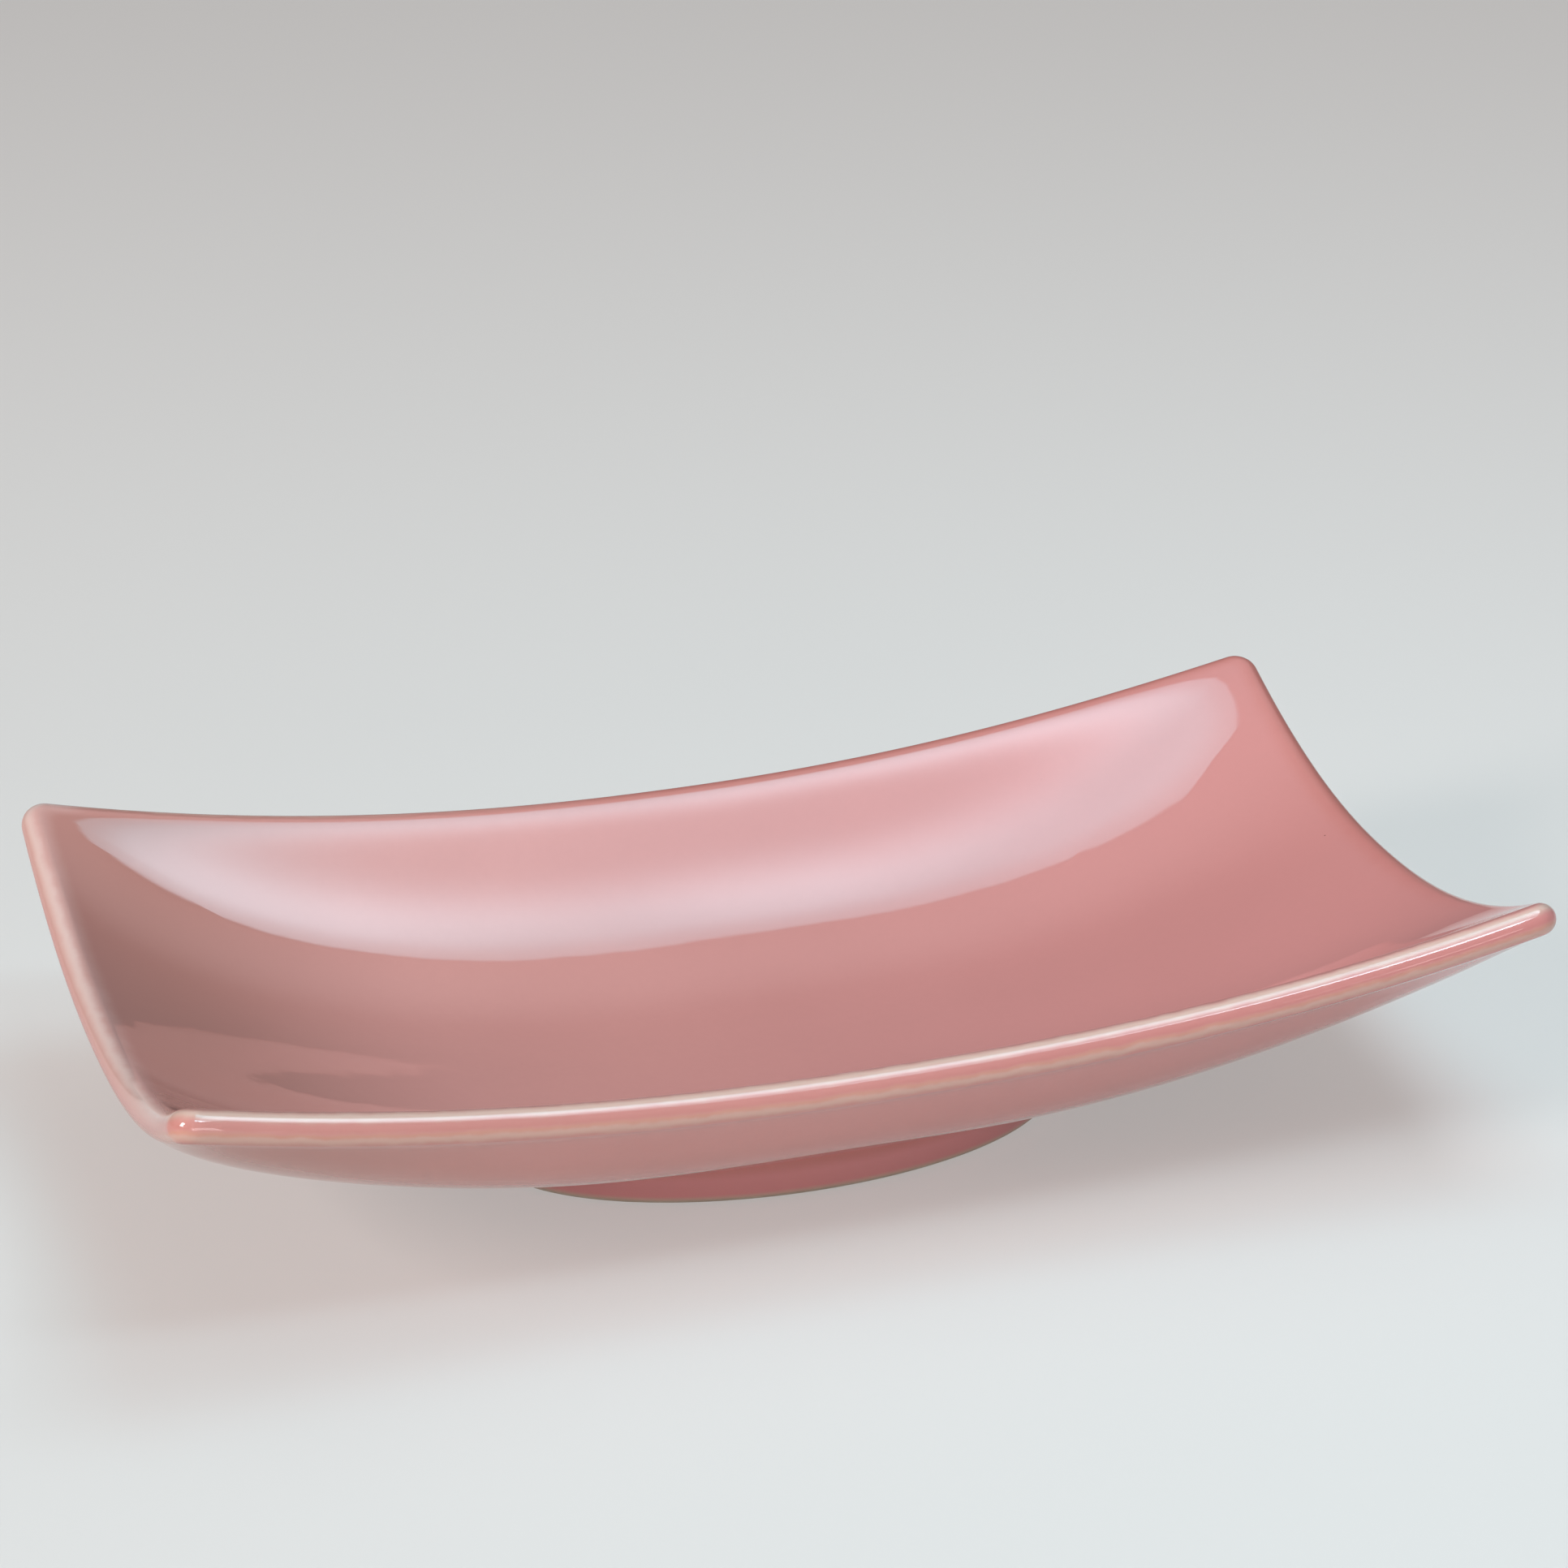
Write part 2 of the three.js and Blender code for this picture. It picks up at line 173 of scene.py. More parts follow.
# %% The outline of the crest
LONG_STEPS, SHORT_STEPS, CORNER_STEPS = 34, 18, 12


def crest_outline():
    """Plan of the crest, counter-clockwise from the middle of the right-hand short side."""
    turn = np.arange(CORNER_STEPS) / CORNER_STEPS * math.pi / 2
    corner_x = HALF_LENGTH - CREST_CORNER_RADIUS
    corner_y = crest_half_width(corner_x) - CREST_CORNER_RADIUS
    side = np.arange(SHORT_STEPS) / SHORT_STEPS * corner_y
    top = corner_x * (1 - np.arange(LONG_STEPS) / LONG_STEPS)
    bend_x, bend_y = CREST_CORNER_RADIUS * np.cos(turn), CREST_CORNER_RADIUS * np.sin(turn)
    x = np.concatenate([np.full(SHORT_STEPS, HALF_LENGTH), corner_x + bend_x, top])
    y = np.concatenate([side, corner_y + bend_y, crest_half_width(top)])
    quarter = np.stack([x, y], axis=-1)
    half = np.concatenate([quarter, [[0.0, crest_half_width(0.0)]], quarter[:0:-1] * [-1, 1]])
    return np.concatenate([half, -half])


crest = crest_outline()
reach = np.linalg.norm(crest, axis=1)
ray = crest / reach[:, None]
print(len(crest), "rays, the longest", round(float(reach.max()), 1), "mm")

# %% [markdown]
# ## The foot
#
# The platter stands on an oval ring. In the making it is a strip of clay, luted with slip
# to the leather-hard underside. Its wall leans out a little towards the dish. To lay the
# underside exactly over the ring, the height of the underside is searched for straight
# above a point of the table: step off the middle surface, see how far the step went
# sideways, and start that much nearer. Eight rounds settle it far below a hair's width.

# %% Sizes of the foot
FOOT_LENGTH, FOOT_WIDTH, FOOT_WALL = 149.6, 83.0, 6.2
FOOT_DRAFT, FOOT_FILLET, WELL_FILLET = 0.06, 1.6, 2.4
BARE_EDGE_HEIGHT, CONTACT_ROUNDING = 1.4, 0.7
print("foot:", FOOT_LENGTH, "by", FOOT_WIDTH, "mm")


# %% Rings of the foot and of the underside
def oval_radius(grow):
    """Plan radius of the foot's oval along every ray, grown or shrunk by an amount."""
    half_long, half_short = FOOT_LENGTH / 2 + grow, FOOT_WIDTH / 2 + grow
    return 1 / np.hypot(ray[:, 0] / half_long, ray[:, 1] / half_short)


def belly_ring(radius, inset):
    """Ring on the underside at a plan radius of the middle surface; inset goes into the wall."""
    x, y = ray[:, 0] * radius, ray[:, 1] * radius
    return off_middle(x, y, inset - underside_depth(x, y))


def underside_height(x, y, inset):
    """Height of the underside straight above points of the table."""
    from_x, from_y = x, y
    for _ in range(8):
        point = off_middle(from_x, from_y, inset - underside_depth(from_x, from_y))
        from_x, from_y = from_x + x - point[:, 0], from_y + y - point[:, 1]
    return point[:, 2]


def foot_outside(height, inset):
    """Ring on the foot's outer wall at a height."""
    radius = oval_radius(FOOT_DRAFT * height - inset)
    return np.stack([ray[:, 0] * radius, ray[:, 1] * radius, height + 0 * radius], axis=-1)


def foot_inside(height, inset):
    """Ring on the foot's inner wall at a height."""
    radius = oval_radius(inset - FOOT_WALL - 2 * CLAY_INSET - FOOT_DRAFT * height)
    return np.stack([ray[:, 0] * radius, ray[:, 1] * radius, height + 0 * radius], axis=-1)


def meeting_ring(wall, inset):
    """Where the underside would meet a wall of the foot if nothing rounded the corner."""
    corner = wall(FLOOR_HEIGHT / 2, inset)
    for _ in range(4):
        corner = wall(underside_height(corner[:, 0], corner[:, 1], inset), inset)
    return corner


outer_meeting = meeting_ring(foot_outside, 0.0)
print("foot wall is", outer_meeting[:, 2].min().round(1), "to", outer_meeting[:, 2].max().round(1), "mm high")

# %% [markdown]
# ## Turning rings into meshes
#
# Two neighbouring rings are joined by a belt of four-sided faces. A film of glaze is two
# such stacks with an edge between them, and the foot ring is a hoop whose last ring joins
# its first. Each ring can also carry a number, such as how far it lies from the crest of
# the lip, which the materials read later to know where the glaze ran thin.

# %% From rings to an object
def belt_faces(ring_count, around, first=0, turned=False):
    """Four-sided faces between consecutive rings."""
    i = np.arange(around)
    j = (i + 1) % around
    belts = []
    for k in range(ring_count - 1):
        a, b = first + k * around, first + (k + 1) * around
        belts.append(np.stack([a + i, b + i, b + j, a + j], axis=1))
    faces = np.concatenate(belts)
    return faces[:, ::-1] if turned else faces


def fan_faces(centre, ring_start, around, turned=False):
    """Triangles between a centre point and the ring round it."""
    i = np.arange(around)
    fan = np.stack([np.full(around, centre), ring_start + i, ring_start + (i + 1) % around], axis=1)
    return fan[:, ::-1] if turned else fan


def make_piece(name, points_mm, faces, numbers=None):
    """Mesh object in metres, smooth shaded, with optional numbers on its points."""
    mesh = bpy.data.meshes.new(name)
    mesh.from_pydata((np.asarray(points_mm) / 1000).tolist(), [], [list(map(int, f)) for f in faces])
    mesh.validate()
    mesh.update()
    mesh.polygons.foreach_set("use_smooth", [True] * len(mesh.polygons))
    for label, values in (numbers or {}).items():
        layer = mesh.attributes.new(label, "FLOAT", "POINT")
        layer.data.foreach_set("value", np.asarray(values, dtype=np.float32))
    piece = bpy.data.objects.new(name, mesh)
    bpy.context.scene.collection.objects.link(piece)
    print(f"{name}: {len(mesh.vertices)} points, {len(mesh.polygons)} faces")
    return piece


# %% [markdown]
# ## The shape of the lip
#
# The lip is wiped with a damp sponge before firing, so its section is a plain half
# circle. It leans with the wall: its ends run smoothly into the two faces of the dish.
# The facets of the solids cut a few hundredths of a millimetre off every curve, so the
# outer face of the fine glaze keeps that much inside, and the box is never exceeded.

# %% Rows over the inside, the lip and the underside
INSIDE_ROWS, LIP_ROWS, BELLY_ROWS = 44, 20, 30
SKIN_INSET = 0.05


def inside_rows(distance):
    """Rings over the inside, drawing together towards the crest."""
    shares = 1 - (1 - np.arange(1, INSIDE_ROWS + 1) / INSIDE_ROWS) ** 1.7
    return [off_middle(crest[:, 0] * s, crest[:, 1] * s, distance) for s in shares]


def lip_rows(radius):
    """Rings round the lip, from the inside to the underside."""
    centre = np.column_stack([crest, middle_height(crest[:, 0], crest[:, 1])])
    along = np.roll(centre, -1, axis=0) - np.roll(centre, 1, axis=0)
    normal = middle_normal(crest[:, 0], crest[:, 1])
    outward = np.cross(along, normal)
    outward /= np.linalg.norm(outward, axis=1, keepdims=True)
    rows = []
    for k in range(1, LIP_ROWS):
        turn = math.pi * k / LIP_ROWS
        rows.append(centre + radius * (math.cos(turn) * normal + math.sin(turn) * outward))
    return rows


def belly_rows(inset):
    """Rings over the underside, from the crest in to where the foot's fillet begins."""
    wanted = oval_radius(FOOT_DRAFT * FLOOR_HEIGHT + FOOT_FILLET)
    start = wanted
    for _ in range(8):
        point = belly_ring(start, 0.0)
        start = start + wanted - np.hypot(point[:, 0], point[:, 1])
    return [belly_ring(reach + (start - reach) * k / BELLY_ROWS, inset) for k in range(BELLY_ROWS + 1)]


print("rings over the dish:", INSIDE_ROWS + LIP_ROWS - 1 + BELLY_ROWS + 1)

# %% [markdown]
# ## Fillets
#
# Where the belly meets the foot the potter runs a wet finger along the join, and glaze
# gathers there. A curve through three points, the start, the sharp corner and the end,
# rounds it. The same is done on the hidden side, inside the foot ring.

# %% Rows down the foot, outside and inside
FILLET_ROWS, WALL_ROWS, WELL_ROWS = 7, 8, 14


def rounded(start, corner, end, steps):
    """Rings of a rounded corner, without the start ring."""
    rows = []
    for s in np.arange(1, steps + 1) / steps:
        a, b = start + (corner - start) * s, corner + (end - corner) * s
        rows.append(a + (b - a) * s)
    return rows


def foot_rows(inset, start):
    """Fillet under the belly and the foot's outer wall, down to the bare edge."""
    corner = meeting_ring(foot_outside, inset)
    end = foot_outside(corner[:, 2] - FOOT_FILLET, inset)
    bottom = foot_outside(BARE_EDGE_HEIGHT + 0 * end[:, 2], inset)
    wall = [end + (bottom - end) * s for s in np.arange(1, WALL_ROWS + 1) / WALL_ROWS]
    return rounded(start, corner, end, FILLET_ROWS) + wall


def well_rows(inset):
    """Underside inside the foot ring, from near the centre out and down the inner wall."""
    corner = meeting_ring(foot_inside, inset)
    start_radius = np.hypot(corner[:, 0], corner[:, 1]) - WELL_FILLET
    ceiling = [belly_ring(start_radius * k / WELL_ROWS, inset) for k in range(1, WELL_ROWS + 1)]
    end = foot_inside(corner[:, 2] - WELL_FILLET, inset)
    bottom = foot_inside(BARE_EDGE_HEIGHT + 0 * end[:, 2], inset)
    wall = [end + (bottom - end) * s for s in np.arange(1, WALL_ROWS + 1) / WALL_ROWS]
    return ceiling + rounded(ceiling[-1], corner, end, FILLET_ROWS) + wall


# %% [markdown]
# ## The glaze as a film
#
# Glaze is glass about half a millimetre thick. It is built as a real closed film: an
# outer face, a rounded bead where it was wiped off above the table, and an inner face
# that almost touches the clay. Each point carries two numbers: its distance from the
# middle of the lip, negative on the inside, and its height above the wiped edge.

# %% Joining two faces into a film
def film_points(centre_a, rows_a, rows_b, centre_b):
    """Points of a film: outer face, wiped bead, inner face, and the faces that join them."""
    bead = []
    middle, half = (rows_a[-1] + rows_b[-1]) / 2, (rows_a[-1] - rows_b[-1]) / 2
    drop = np.zeros_like(half)
    drop[:, 2] = -np.linalg.norm(half, axis=1)
    for k in range(1, 4):
        turn = math.pi * k / 4
        bead.append(middle + half * math.cos(turn) + drop * math.sin(turn))
    rings = rows_a + bead + rows_b[::-1]
    around = len(ray)
    points = np.concatenate([[centre_a], *rings, [centre_b]])
    faces = [fan_faces(0, 1, around).tolist(), belt_faces(len(rings), around, first=1).tolist()]
    last = 1 + (len(rings) - 1) * around
    faces.append(fan_faces(len(points) - 1, last, around, turned=True).tolist())
    return points, [f for group in faces for f in group], rings


def way_from(rings, start_ring):
    """Distance in millimetres along each ray's section from one ring, signed."""
    stack = np.stack(rings)
    steps = np.linalg.norm(np.diff(stack, axis=0), axis=2)
    way = np.concatenate([np.zeros((1, stack.shape[1])), np.cumsum(steps, axis=0)])
    return way - way[start_ring]


FAR = 200.0


def film_numbers(rings, crest_ring, bottom_ring):
    """Distance from the crest and from the wiped edge for every point, never more than FAR."""
    crest_way, bottom_way = way_from(rings, crest_ring), np.abs(way_from(rings, bottom_ring))
    from_crest = np.concatenate([[-FAR], np.clip(crest_way, -FAR, FAR).ravel(), [FAR]])
    from_edge = np.concatenate([[FAR], np.clip(bottom_way, 0, FAR).ravel(), [FAR]])
    return {"from_crest": from_crest, "from_edge": from_edge}


# %% The glaze over dish and foot
def centre_point(distance):
    return off_middle(np.zeros(1), np.zeros(1), distance)[0]


def coat_rows(inset):
    belly = belly_rows(inset)
    rows = inside_rows(LIP_RADIUS - inset) + lip_rows(LIP_RADIUS - inset) + belly
    return rows + foot_rows(inset, belly[-1])


outer_coat, inner_coat = coat_rows(SKIN_INSET), coat_rows(GLAZE_THICKNESS)
coat_points, coat_faces, coat_rings = film_points(
    centre_point(LIP_RADIUS - SKIN_INSET), outer_coat, inner_coat, centre_point(LIP_RADIUS - GLAZE_THICKNESS))
crest_ring = INSIDE_ROWS + LIP_ROWS // 2 - 1
coat_numbers = film_numbers(coat_rings, crest_ring, len(outer_coat) + 1)
glaze_skin = make_piece("glaze_skin", coat_points, coat_faces, coat_numbers)
glaze_length, glaze_width = np.ptp(coat_points, axis=0)[:2]
glaze_top = coat_points[:, 2].max()
print(f"glaze skin: {glaze_length:.2f} by {glaze_width:.2f} mm, top at {glaze_top:.2f} mm")

# %% The glaze inside the foot ring
outer_well, inner_well = well_rows(0.0), well_rows(GLAZE_THICKNESS)
well_points, well_faces, well_rings = film_points(
    centre_point(GLAZE_THICKNESS - centre_depth), inner_well, outer_well, centre_point(-centre_depth))
well_numbers = film_numbers(well_rings, 0, len(inner_well) + 1)
well_numbers["from_crest"] = np.full(len(well_points), FAR)
well_glaze = make_piece("well_glaze", well_points, well_faces, well_numbers)

# %% [markdown]
# ## Clay under the glaze
#
# The clay of the dish shows nowhere, but it is there, so it gets a mesh as fine as the
# glaze that lies on it. Otherwise the flat facets of the solid could poke through a film
# of half a millimetre.

# %% The clay dish
def over_wall(wall, depth_below):
    """Ring on the underside of the clay straight above a wall of the foot."""
    corner = meeting_ring(wall, CLAY_INSET)
    height = underside_height(corner[:, 0], corner[:, 1], CLAY_INSET)
    return np.column_stack([corner[:, :2], height - depth_below])


ceiling = well_rows(CLAY_INSET)[:WELL_ROWS][::-1]
outer_seat, inner_seat = over_wall(foot_outside, 0.0), over_wall(foot_inside, 0.0)
seat = [outer_seat, (outer_seat + inner_seat) / 2, inner_seat]
clay_rings = inside_rows(LIP_RADIUS - CLAY_INSET) + lip_rows(LIP_RADIUS - CLAY_INSET)
clay_rings += belly_rows(CLAY_INSET) + seat + ceiling
around = len(ray)
clay_points = np.concatenate([
    [centre_point(LIP_RADIUS - CLAY_INSET)], *clay_rings, [centre_point(CLAY_INSET - centre_depth)]])
clay_faces = fan_faces(0, 1, around).tolist() + belt_faces(len(clay_rings), around, first=1).tolist()
last_ring = 1 + (len(clay_rings) - 1) * around
clay_faces += fan_faces(len(clay_points) - 1, last_ring, around, turned=True).tolist()
clay_body = make_piece("clay_body", clay_points, clay_faces)

# %% [markdown]
# ## The foot ring and its bed of slip
#
# Only a thin line of bare clay shows at the table, where the glaze was sponged away so
# that the platter would not stick to the kiln shelf. That edge is softly rounded by the
# sponge. The ring is a hoop: its section goes round eleven rings and closes on itself.

# %% Foot ring and slip
def hoop(name, rings):
    """Closed hoop from rings that follow one another round the section."""
    count, size = len(rings), len(ray)
    faces = belt_faces(count, size).tolist()
    i = np.arange(size)
    j = (i + 1) % size
    last = (count - 1) * size
    faces += np.stack([last + i, i, j, last + j], axis=1).tolist()
    return make_piece(name, np.concatenate(rings), faces)


def rounded_bottom(wall, steps=4):
    """Rings from the side of the foot round its sponged edge to the flat contact face."""
    rows = []
    for k in range(steps + 1):
        turn = math.pi / 2 * k / steps
        height = CONTACT_ROUNDING * (1 - math.sin(turn))
        rows.append(wall(height + np.zeros(len(ray)), CLAY_INSET + CONTACT_ROUNDING * (1 - math.cos(turn))))
    return rows


seam_depth = FIT_GAP + SLIP_THICKNESS + FIT_GAP
ring_inner_top, ring_outer_top = over_wall(foot_inside, seam_depth), over_wall(foot_outside, seam_depth)
foot_height = BARE_EDGE_HEIGHT + np.zeros(len(ray))
foot_hoop = hoop("foot_hoop", [
    ring_inner_top, (ring_inner_top + ring_outer_top) / 2, ring_outer_top,
    foot_outside(foot_height, CLAY_INSET), *rounded_bottom(foot_outside),
    *rounded_bottom(foot_inside)[::-1], foot_inside(foot_height, CLAY_INSET)])


def slip_ring(wall, sideways, depth_below):
    """Ring of the slip bed: the seam's height, drawn in from the wall of the foot."""
    edge = over_wall(wall, depth_below)
    middle = (over_wall(foot_inside, depth_below) + over_wall(foot_outside, depth_below)) / 2
    pull = middle - edge
    return edge + pull * (sideways / np.linalg.norm(pull, axis=1, keepdims=True))


slip_rings = [slip_ring(foot_inside, FIT_GAP, FIT_GAP), slip_ring(foot_outside, FIT_GAP, FIT_GAP),
              slip_ring(foot_outside, FIT_GAP, FIT_GAP + SLIP_THICKNESS),
              slip_ring(foot_inside, FIT_GAP, FIT_GAP + SLIP_THICKNESS)]
slip_bed = hoop("slip_bed", slip_rings)

# %% [markdown]
# ## Which piece stands for which solid
#
# Each fine mesh takes the place of one solid. The platter has no moving part, so all of
# them ride on its one body.

# %% Pieces take their places
PLACES = (
    (glaze_skin, "glaze_coat", "pink_glaze"),
    (well_glaze, "foot_well_glaze", "pink_glaze"),
    (clay_body, "clay_dish", "fired_clay"),
    (foot_hoop, "foot_ring", "fired_clay"),
    (slip_bed, "luting_slip", "slip"),
)
for piece, node, slot in PLACES:
    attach(piece, "root")
    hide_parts(node)
    print(piece.name, "stands for", node)

# %% [markdown]
# ## Effects that several finishes share
#
# Specks, slow drifts of tone and a fine grain turn up in glaze and clay alike, only at
# other sizes and strengths. Each is a node group with named inputs, so a material places
# it once and sets its own numbers. Groups hand out masks and values only; the shader
# itself stays in the material.

# %% Helpers for node trees
def new_group(name, inputs, outputs):
    """Empty shader group with named float or vector sockets."""
    group = bpy.data.node_groups.new(name, "ShaderNodeTree")
    kinds = {"vector": "NodeSocketVector", "value": "NodeSocketFloat", "color": "NodeSocketColor"}
    for label, kind, default in inputs:
        socket = group.interface.new_socket(name=label, in_out="INPUT", socket_type=kinds[kind])
        if default is not None:
            socket.default_value = default
    for label, kind in outputs:
        group.interface.new_socket(name=label, in_out="OUTPUT", socket_type=kinds[kind])
    entry, out = group.nodes.new("NodeGroupInput"), group.nodes.new("NodeGroupOutput")
    entry.location, out.location = (-900, 0), (700, 0)
    return group, entry, out


def add(tree, kind, x=0, y=0, **settings):
    """New node with its settings."""
    node = tree.nodes.new(kind)
    node.location = (x, y)
    for key, value in settings.items():
        setattr(node, key, value)
    return node


def math_node(tree, operation, first, second=None, x=0, y=0, clamp=False):
    """Math node whose inputs are sockets or plain numbers; gives its output socket."""
    node = add(tree, "ShaderNodeMath", x, y, operation=operation, use_clamp=clamp)
    for index, value in enumerate((first, second)):
        if value is None:
            continue
        if isinstance(value, (int, float)):
            node.inputs[index].default_value = value
        else:
            tree.links.new(value, node.inputs[index])
    return node.outputs[0]


# %% The drift group
drift, entry, out = new_group(
    "slow_drift",
    [("Vector", "vector", None), ("Patch size", "value", 0.05), ("Roughness", "value", 0.5)],
    [("Drift", "value")])
patches = add(drift, "ShaderNodeTexNoise", -300, 0)
patches.inputs["Detail"].default_value = 3.0
drift.links.new(entry.outputs["Vector"], patches.inputs["Vector"])
patch_scale = math_node(drift, "DIVIDE", 1.0, entry.outputs["Patch size"], -600, -100)
drift.links.new(patch_scale, patches.inputs["Scale"])
drift.links.new(entry.outputs["Roughness"], patches.inputs["Roughness"])
stretch = add(drift, "ShaderNodeMapRange", 200, 0)
stretch.inputs["From Min"].default_value, stretch.inputs["From Max"].default_value = 0.3, 0.7
drift.links.new(patches.outputs["Fac"], stretch.inputs["Value"])
drift.links.new(stretch.outputs["Result"], out.inputs["Drift"])
print("group made:", drift.name)

# %% [markdown]
# ## Specks
#
# Iron specks in clay and pinholes in glaze are small round spots, far apart and of
# different sizes. Cells of a Voronoi texture give each spot its own centre, and a random
# number per cell decides whether that cell has a spot at all, and how large it is.

# %% The speck group
specks, entry, out = new_group(
    "scattered_specks",
    [("Vector", "vector", None), ("Spacing", "value", 0.01), ("Size", "value", 0.0005),
     ("Share", "value", 0.3)],
    [("Speck", "value")])
cells = add(specks, "ShaderNodeTexVoronoi", -450, 100, feature="F1")
specks.links.new(entry.outputs["Vector"], cells.inputs["Vector"])
cell_scale = math_node(specks, "DIVIDE", 1.0, entry.outputs["Spacing"], -700, -50)
specks.links.new(cell_scale, cells.inputs["Scale"])
lot = add(specks, "ShaderNodeSeparateColor", -250, -100)
specks.links.new(cells.outputs["Color"], lot.inputs["Color"])
real_distance = math_node(specks, "MULTIPLY", cells.outputs["Distance"], entry.outputs["Spacing"], -250, 150)
own_size = math_node(specks, "MULTIPLY", lot.outputs["Green"], entry.outputs["Size"], -50, -50)
core = math_node(specks, "DIVIDE", real_distance, own_size, 100, 120)
soft = add(specks, "ShaderNodeMapRange", 280, 120, interpolation_type="SMOOTHSTEP")
soft.inputs["From Min"].default_value, soft.inputs["From Max"].default_value = 1.0, 0.55
specks.links.new(core, soft.inputs["Value"])
chosen = math_node(specks, "LESS_THAN", lot.outputs["Red"], entry.outputs["Share"], 100, -150)
spot = math_node(specks, "MULTIPLY", soft.outputs["Result"], chosen, 480, 50)
specks.links.new(spot, out.inputs["Speck"])
print("group made:", specks.name)

# %% [markdown]
# ## Where the glaze runs thin
#
# Molten glaze creeps off a sharp shoulder. Over the two shoulders of the lip the pink
# thins to a warm beige. Between them the crest keeps its colour, and narrow brown and
# orange lines mark where thick glaze ends. The brown line on the inner edge is also a
# painted dark reflection: seen edge-on, the lip mirrors the dark room there. The distance
# from the crest, stored on the mesh, says where a point lies; a little noise lets the bands
# wander, because no edge breaks in a ruled line. Close to the lip the glaze also turns
# paler, or redder, over about a centimetre: that wide fade is its own output. At the left
# end the paler fade is thin glaze and painted light on the lit lip together.

# %% The break group
glaze_break, entry, out = new_group(
    "glaze_break",
    [("Vector", "vector", None), ("From crest", "value", 0.0), ("Wander", "value", 0.5)],
    [("Inner thin", "value"), ("Outer thin", "value"), ("Brown line and dark reflection", "value"), ("Orange line", "value"),
     ("Rim fade", "value")])
wobble = add(glaze_break, "ShaderNodeTexNoise", -650, -150)
wobble.inputs["Scale"].default_value, wobble.inputs["Detail"].default_value = 160.0, 3.0
glaze_break.links.new(entry.outputs["Vector"], wobble.inputs["Vector"])
centred = math_node(glaze_break, "SUBTRACT", wobble.outputs["Fac"], 0.5, -450, -150)
swing = math_node(glaze_break, "MULTIPLY", centred, entry.outputs["Wander"], -300, -150)
swing = math_node(glaze_break, "MULTIPLY", swing, 4.0, -200, -150)
placed = math_node(glaze_break, "ADD", entry.outputs["From crest"], swing, -100, 0)


def shoulder(middle, reach_mm, y):
    """Soft bump, 1 at a distance from the crest and 0 a reach away from it."""
    off = math_node(glaze_break, "SUBTRACT", placed, middle, 50, y)
    away = math_node(glaze_break, "ABSOLUTE", off, None, 150, y)
    bump = add(glaze_break, "ShaderNodeMapRange", 300, y, interpolation_type="SMOOTHSTEP")
    bump.inputs["From Min"].default_value, bump.inputs["From Max"].default_value = reach_mm, 0.0
    glaze_break.links.new(away, bump.inputs["Value"])
    return bump.outputs["Result"]


# Each band: its place from the crest in millimetres, inside negative, and its reach.
BANDS = (("Inner thin", -2.8, 2.4), ("Outer thin", 3.1, 2.3), ("Brown line and dark reflection", -4.9, 0.9),
         ("Orange line", 1.9, 0.8), ("Rim fade", 0.0, 11.0))
for row, (band, middle, reach_mm) in enumerate(BANDS):
    glaze_break.links.new(shoulder(middle, reach_mm, 200 - 200 * row), out.inputs[band])
print("group made:", glaze_break.name)

# %% [markdown]
# ## Colours
#
# Colours are written as they look on a screen and turned into the linear values that the
# renderer works with. The pink is dusty and warm; where the glaze is thin the cream clay
# shines through.

# %% Colour helper and the palette
def colour(red, green, blue):
    """Linear colour from screen values between 0 and 255."""
    def linear(value):
        value /= 255
        return value / 12.92 if value <= 0.04045 else ((value + 0.055) / 1.055) ** 2.4
    return (linear(red), linear(green), linear(blue), 1.0)


PINK_ROSE = colour(201, 126, 121)
PINK_WARM = colour(203, 136, 127)
PINK_CLOUD = colour(186, 119, 113)
BEIGE_THIN = colour(206, 175, 158)
# Thin glaze and painted light together: the pale band inside the lit left lip.
BEIGE_THIN_AND_PAINTED_LIGHT = colour(214, 181, 172)
VALLEY_PAINTED_SHADE = colour(162, 104, 93)
# Painted shade: this brown darkens the left slope where less light falls.
RIM_RED = colour(180, 94, 80)
# Painted light: the paler pink of the foot wall stands in for light from the front.
FOOT_PAINTED_LIGHT_PINK = colour(222, 150, 150)
# Thin glaze and painted dark reflection: the inner edge of the lip mirrors the dark room.
BROWN_LINE_AND_DARK_REFLECTION = colour(150, 98, 84)
ORANGE_LINE = colour(200, 134, 110)
IRON_SPECK = colour(96, 52, 44)
PINHOLE = colour(214, 176, 166)
CLAY_CREAM = colour(206, 192, 174)
CLAY_DARK = colour(150, 124, 100)
SLIP_CREAM = colour(198, 180, 160)
print("pink in linear light:", [round(c, 3) for c in PINK_ROSE[:3]])


# %% Mixing colours and placing groups
def blend_colours(tree, amount, first, second, x=0, y=0):
    """Mix of two colours, each a socket or a plain colour; gives the mixed colour's socket."""
    node = add(tree, "ShaderNodeMix", x, y, data_type="RGBA")
    for socket, value in ((node.inputs[0], amount), (node.inputs[6], first), (node.inputs[7], second)):
        if isinstance(value, (tuple, float, int)):
            socket.default_value = value
        else:
            tree.links.new(value, socket)
    return node.outputs[2]


def place_group(tree, group, x=0, y=0, **values):
    """Group node with its inputs set by name: underscores stand for spaces."""
    node = add(tree, "ShaderNodeGroup", x, y, node_tree=group)
    for key, value in values.items():
        socket = node.inputs[key.replace("_", " ")]
        if isinstance(value, (int, float)):
            socket.default_value = value
        else:
            tree.links.new(value, socket)
    return node
